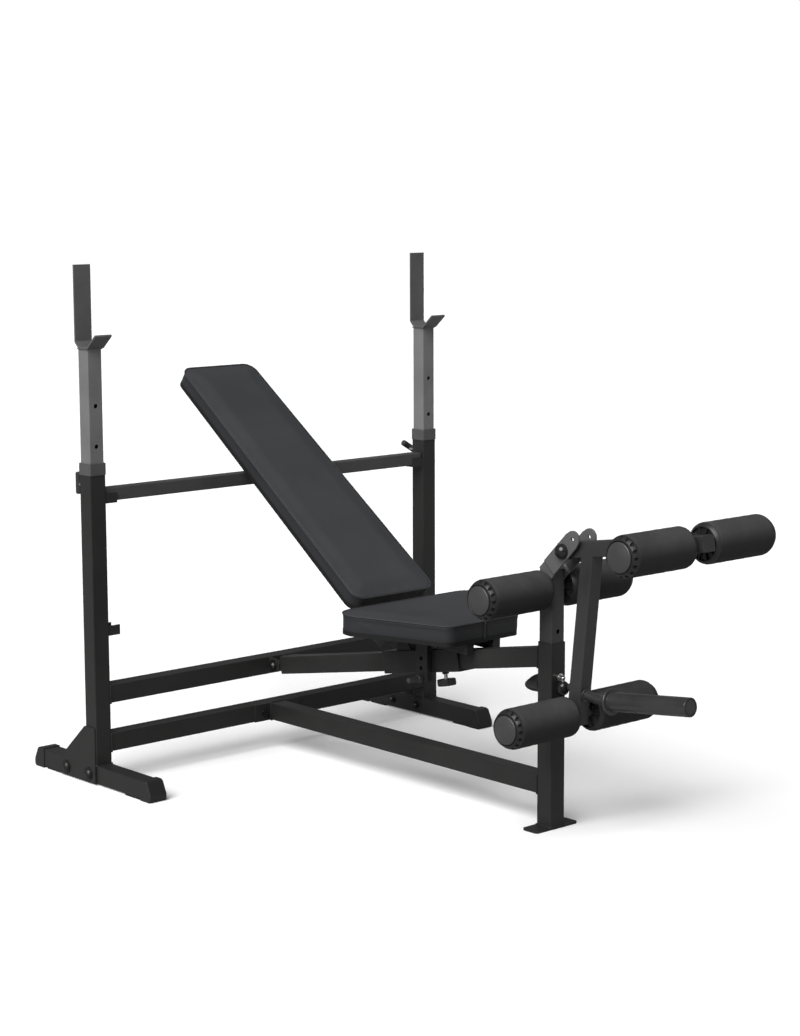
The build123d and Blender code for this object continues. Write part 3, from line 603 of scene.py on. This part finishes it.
def build_cushion(pad):
    """Cover of a pad: crowned top, rounded top edge and boxing that pulls in at the seam and below."""
    layers = [(pad.outline(inset * MM), height * MM) for inset, height in COVER_FOOT]
    layers.append((pad.outline(COVER_INSET), pad.seam))
    for step in range(1, 5):
        angle = math.pi / 2 * step / 4
        inset = COVER_INSET + CROWN_ROUND * (1 - math.cos(angle))
        layers.append((pad.outline(inset), pad.seam + CROWN_RISE * math.sin(angle)))
    bm = bmesh.new()
    add_slab(bm, layers)
    piece = finish_mesh(pad.body + "_cover", bm, "vinyl")
    remesh(piece)
    swell(piece, pad.freedom)
    piece.data.transform(pad.place)
    finer = piece.modifiers.new("finer", "SUBSURF")
    finer.levels = finer.render_levels = 1
    place(piece, pad.body, pad.node)


def build_seams(pad):
    """Welt along the top edge, with a row of stitches just inside it."""
    bm = bmesh.new()
    rim = even_path(pad.outline(WELT_INSET), 6 * MM)
    add_sweep(bm, [pad.at(point, pad.seam + WELT_LIFT) for point in rim], WELT_R)
    place(finish_mesh(pad.body + "_welt", bm, "vinyl"), pad.body)

    bm = bmesh.new()
    row = even_path(pad.outline(STITCH_INSET), STITCH_PITCH)
    for here, after in zip(row, row[1:] + row[:1]):
        stitch = [pad.at(here.lerp(after, part), pad.seam + STITCH_LIFT) for part in (0.2, 0.5, 0.8)]
        add_sweep(bm, stitch, STITCH_R, steps=5, closed=False)
    place(finish_mesh(pad.body + "_stitches", bm, "thread"), pad.body)


def build_boxing_joint(pad):
    """The upright joint where the two ends of the boxing meet, at the middle of the far edge."""
    bottom, top = 2.5 * MM, pad.seam + 1.0 * MM
    tuck, tuck_height, depth = 6.0 * MM, 13.0 * MM, 0.9 * MM
    for name, x, radius, material in (("shadow", -1.0, 1.7, "board"), ("fold", 2.0, 1.9, "vinyl")):
        path = []
        for step in range(10):
            height = bottom + (top - bottom) * step / 9
            sink = tuck * max(0.0, 1.0 - height / tuck_height) ** 2
            path.append(pad.at(Vector((x * MM, pad.length - depth - sink)), height))
        bm = bmesh.new()
        add_sweep(bm, path, radius * MM, closed=False)
        place(finish_mesh(f"{pad.body}_joint_{name}", bm, material), pad.body)


def even_path(points, gap):
    """Resample a closed outline into nearly even steps."""
    out = []
    for index, here in enumerate(points):
        after = points[(index + 1) % len(points)]
        count = max(1, round((after - here).length / gap))
        for step in range(count):
            out.append(here.lerp(after, step / count))
    return out


# ---------------------------------------------------------------- foam rollers


def build_foam(node, body):
    """A foam sleeve with soft rounded ends and a faintly uneven skin."""
    low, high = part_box(node)
    length = high.x - low.x
    outer = (high.z - low.z) / 2
    corner = round_corner(outer - FOAM_LIP, 0.0, outer, FOAM_LIP)
    profile = [(FOAM_BORE, 0.0), *corner]
    for step in range(1, 16):
        along = FOAM_LIP + (length - 2 * FOAM_LIP) * step / 16
        profile.append((outer + FOAM_WAVE * math.sin(step * FOAM_WAVE_TURN), along))
    profile += [(radius, length - along) for radius, along in reversed(corner)]
    profile += [(FOAM_BORE, length), (FOAM_BORE, 0.0)]
    bm = bmesh.new()
    start = (low.x, (low.y + high.y) / 2, (low.z + high.z) / 2)
    add_turned(bm, profile, start, (1, 0, 0), 72)
    bmesh.ops.remove_doubles(bm, verts=bm.verts, dist=1e-6)
    place(finish_mesh(node + "_sleeve", bm, "foam"), body, node)


# Each pair of rollers: the body that carries it, and the node that holds its hubs.
ROLLERS = {
    "thigh": ("leg_post", "thigh_roller_hubs"),
    "arm": ("lever", "lever_roller_hubs"),
    "shin": ("lever", "lever_roller_hubs"),
}


def build_plugs(part, body, hubs):
    """Domed grey discs pressed into the two outer hubs of a pair of rollers."""
    axis = middle(f"left_{part}_foam")
    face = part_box(hubs)[1].x - PLUG_SUNK
    profile = [(radius * MM, along * MM) for radius, along in PLUG_RIM + PLUG_DOME + PLUG_TOP]
    bm = bmesh.new()
    for side in (-1, 1):
        add_turned(bm, profile, (side * face, axis.y, axis.z), (side, 0, 0))
    place(finish_mesh(part + "_hub_plugs", bm, "grey_plastic"), body)


# ---------------------------------------------------------------- weld beads


def add_bead(bm, centre, first, second, radius=BEAD_R):
    """A rippled bead round a rectangle given by its centre and two half-side vectors."""
    corners = [first + second, second - first, -first - second, first - second]
    path = []
    for index, here in enumerate(corners):
        after = corners[(index + 1) % 4]
        for step in range(16):
            path.append(centre + here.lerp(after, step / 16) * (1.0 + BEAD_RIPPLE * (step % 2)))
    add_sweep(bm, path, radius, 8)


def add_end_bead(bm, node, axis, end, inset, half=FRAME_BEAD, radius=BEAD_R):
    """A bead round one end (-1 or 1) of an upright or level tube, a little in from that end."""
    low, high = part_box(node)
    centre = (low + high) / 2
    face = high if end > 0 else low
    centre[axis] = face[axis] - end * inset * MM
    first, second = (Matrix.Identity(3)[other] * half for other in (X, Y, Z) if other != axis)
    add_bead(bm, centre, first, second, radius)


# Welded ends in the frame: the tube, its axis, which end, and how far in from it, in millimetres.
FRAME_WELDS = (
    ("lower_crossbar", X, -1, 0.3), ("lower_crossbar", X, 1, 0.3),
    ("upper_crossbar", X, -1, 0.3), ("upper_crossbar", X, 1, 0.3),
    ("left_upright", Z, -1, 0.4), ("right_upright", Z, -1, 0.4),
    ("main_beam", Y, 1, 5.3), ("main_beam", Y, -1, 0.3),
    ("front_post", Z, -1, 0.4),
)


def build_welds():
    """Beads where the tubes of the frame, the racks and the lever are joined."""
    bm = bmesh.new()
    for tube_end in FRAME_WELDS:
        add_end_bead(bm, *tube_end)
    low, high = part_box("seat_beam")
    across, up = SEAT_BEAM_BEAD
    beam_end = Vector((0, low.y, high.z)) + SEAT_BEAM_END
    add_bead(bm, beam_end, Vector((across, 0, 0)), Vector((0, 0, up)))
    place(finish_mesh("frame_welds", bm, "black_paint"), "frame")

    for body in ("left_rack", "right_rack"):
        bm = bmesh.new()
        add_end_bead(bm, body + "_post", Z, 1, 0.4, RACK_BEAD, THIN_BEAD_R)
        # The rack weld takes the lighter rack copy: painted light.
        place(finish_mesh(body + "_weld", bm, "rack_lit_paint"), body)

    bm = bmesh.new()
    across, along = LEVER_BEAD
    slope = Vector((0, -math.cos(LEVER_SLOPE), math.sin(LEVER_SLOPE)))
    elbow = middle("pivot_bolt") + UNDER_PIVOT
    add_bead(bm, elbow, Vector((across, 0, 0)), slope * along, THIN_BEAD_R)
    place(finish_mesh("lever_weld", bm, "black_paint"), "lever")


# ---------------------------------------------------------------- carry over the CAD nodes

# Nodes whose finish differs a little from that of their slot. The rack posts get a lighter copy of the grey
# paint as painted light, the support bar a darker copy as painted shade, and the leg post a grey copy that
# is partly its own grey paint and partly lightened to make up for the thigh roller's shadow.
OWN_PAINT = {
    "left_rack_post": "rack_lit_paint", "right_rack_post": "rack_lit_paint", "support_bar": "bar_shaded_paint",
    "leg_post": "post_grey_and_lit_paint", "leg_lever": "lever_paint", "weight_sleeve": "sleeve_paint",
    "weight_rod": "sleeve_paint", "upright_collars": "collar", "pivot_bolt": "cap",
    "post_lock_knob": "cap", "tension_knob": "cap",
}


def paint_cad():
    """Give every CAD node its procedural material."""
    slots = {entry["node"]: entry["material_slot"] for entry in frame["record"]["subparts"]}
    for name, node in frame["nodes"].items():
        node.data.materials.clear()
        node.data.materials.append(MATERIALS[OWN_PAINT.get(name, slots[name])])


# ---------------------------------------------------------------- stage, light and camera


def build_floor():
    """A seamless pale floor; it throws back less light than it shows, as a large dim studio would."""
    bpy.ops.mesh.primitive_plane_add(size=60)
    floor = bpy.context.object
    floor.name = "floor"
    made = Shader("floor")
    cloud = made.spread(made.noise(2.0, 4.0, 0.5), 0.3, 0.7)
    seen = made.mix(cloud, grey(FLOOR_SEEN - 0.02), grey(FLOOR_SEEN))
    camera_ray = made.node("ShaderNodeLightPath").outputs["Is Camera Ray"]
    shade = made.mix(camera_ray, grey(FLOOR_BOUNCE), seen)
    made.set(Base_Color=shade, Roughness=0.9, Specular_IOR_Level=0.0)
    made.set(Emission_Color=(1.0, 1.0, 1.0), Emission_Strength=made.times(camera_ray, FLOOR_GLOW))
    floor.data.materials.append(made.material)


def build_world():
    """White behind the object for the camera, and a weaker even light on it."""
    world = bpy.data.worlds.new("studio")
    bpy.context.scene.world = world
    world.use_nodes = True
    nodes = world.node_tree.nodes
    background = nodes["Background"]
    background.inputs[0].default_value = (1.0, 1.0, 1.0, 1.0)
    seen = nodes.new("ShaderNodeLightPath").outputs["Is Camera Ray"]
    level = nodes.new("ShaderNodeMapRange")
    level.inputs["To Min"].default_value = AMBIENT
    level.inputs["To Max"].default_value = 1.0
    world.node_tree.links.new(seen, level.inputs["Value"])
    world.node_tree.links.new(level.outputs["Result"], background.inputs[1])
    bpy.context.scene.view_settings.view_transform = "Standard"


def add_to_scene(name, data):
    """Make an object of a lamp or a camera."""
    made = bpy.data.objects.new(name, data)
    bpy.context.scene.collection.objects.link(made)
    return made


def aim_lamp(lamp, source, target):
    """Put a lamp at one point, shining towards another."""
    lamp.location = source
    lamp.rotation_mode = "QUATERNION"
    lamp.rotation_quaternion = (Vector(target) - Vector(source)).to_track_quat("-Z", "Y")


def build_lights():
    """A very wide, even source from the upper left, and a weak fill from the front."""
    wide = bpy.data.lights.new("wide", "SUN")
    wide.energy = SUN_POWER
    wide.angle = SUN_WIDTH
    aim_lamp(add_to_scene("wide", wide), SUN_FROM, (0, 0, 0))
    front = bpy.data.lights.new("front", "AREA")
    front.shape = "SQUARE"
    front.size = FRONT_SIZE
    front.energy = FRONT_POWER
    aim_lamp(add_to_scene("front", front), FRONT_FROM, FRONT_AIM)


def build_camera():
    """Long lens, turned about 42 degrees from the bench's axis and a little above it."""
    flat = math.cos(CAMERA_PITCH)
    look = Vector((math.sin(CAMERA_YAW) * flat, math.cos(CAMERA_YAW) * flat, -math.sin(CAMERA_PITCH)))
    right = Vector((math.cos(CAMERA_YAW), -math.sin(CAMERA_YAW), 0))
    up = right.cross(look)
    tilted_right = right * math.cos(CAMERA_ROLL) + up * math.sin(CAMERA_ROLL)
    tilted_up = up * math.cos(CAMERA_ROLL) - right * math.sin(CAMERA_ROLL)
    data = bpy.data.cameras.new("camera")
    data.sensor_width = CAMERA_SENSOR
    data.lens = CAMERA_LENS
    camera = add_to_scene("camera", data)
    low, high = (Vector(corner) for corner in CAD_BOX)
    turn = Matrix((tilted_right, tilted_up, -look)).transposed().to_4x4()
    camera.matrix_world = Matrix.Translation((low + high) / 2 + CAMERA_FROM_MIDDLE) @ turn
    bpy.context.scene.camera = camera


# ---------------------------------------------------------------- build everything

paint_cad()
SEAT = Pad(
    "seat", "seat_cushion", heading=181.95,
    halves=(277.0, 127.0), length=323.0, corners=(55.0, 34.0), thick=58.0,
)
BACKREST = Pad(
    "backrest", "backrest_cushion", heading=35.84,
    halves=(143.5, 130.0), length=975.0, corners=(35.0, 35.0), thick=50.0,
)
for upholstery in (SEAT, BACKREST):
    build_cushion(upholstery)
    build_seams(upholstery)
build_boxing_joint(SEAT)
for part, (body, hubs) in ROLLERS.items():
    build_plugs(part, body, hubs)
    for side in ("left", "right"):
        build_foam(f"{side}_{part}_foam", f"{side}_{part}_roll")
build_welds()
build_floor()
build_world()
build_lights()
build_camera()
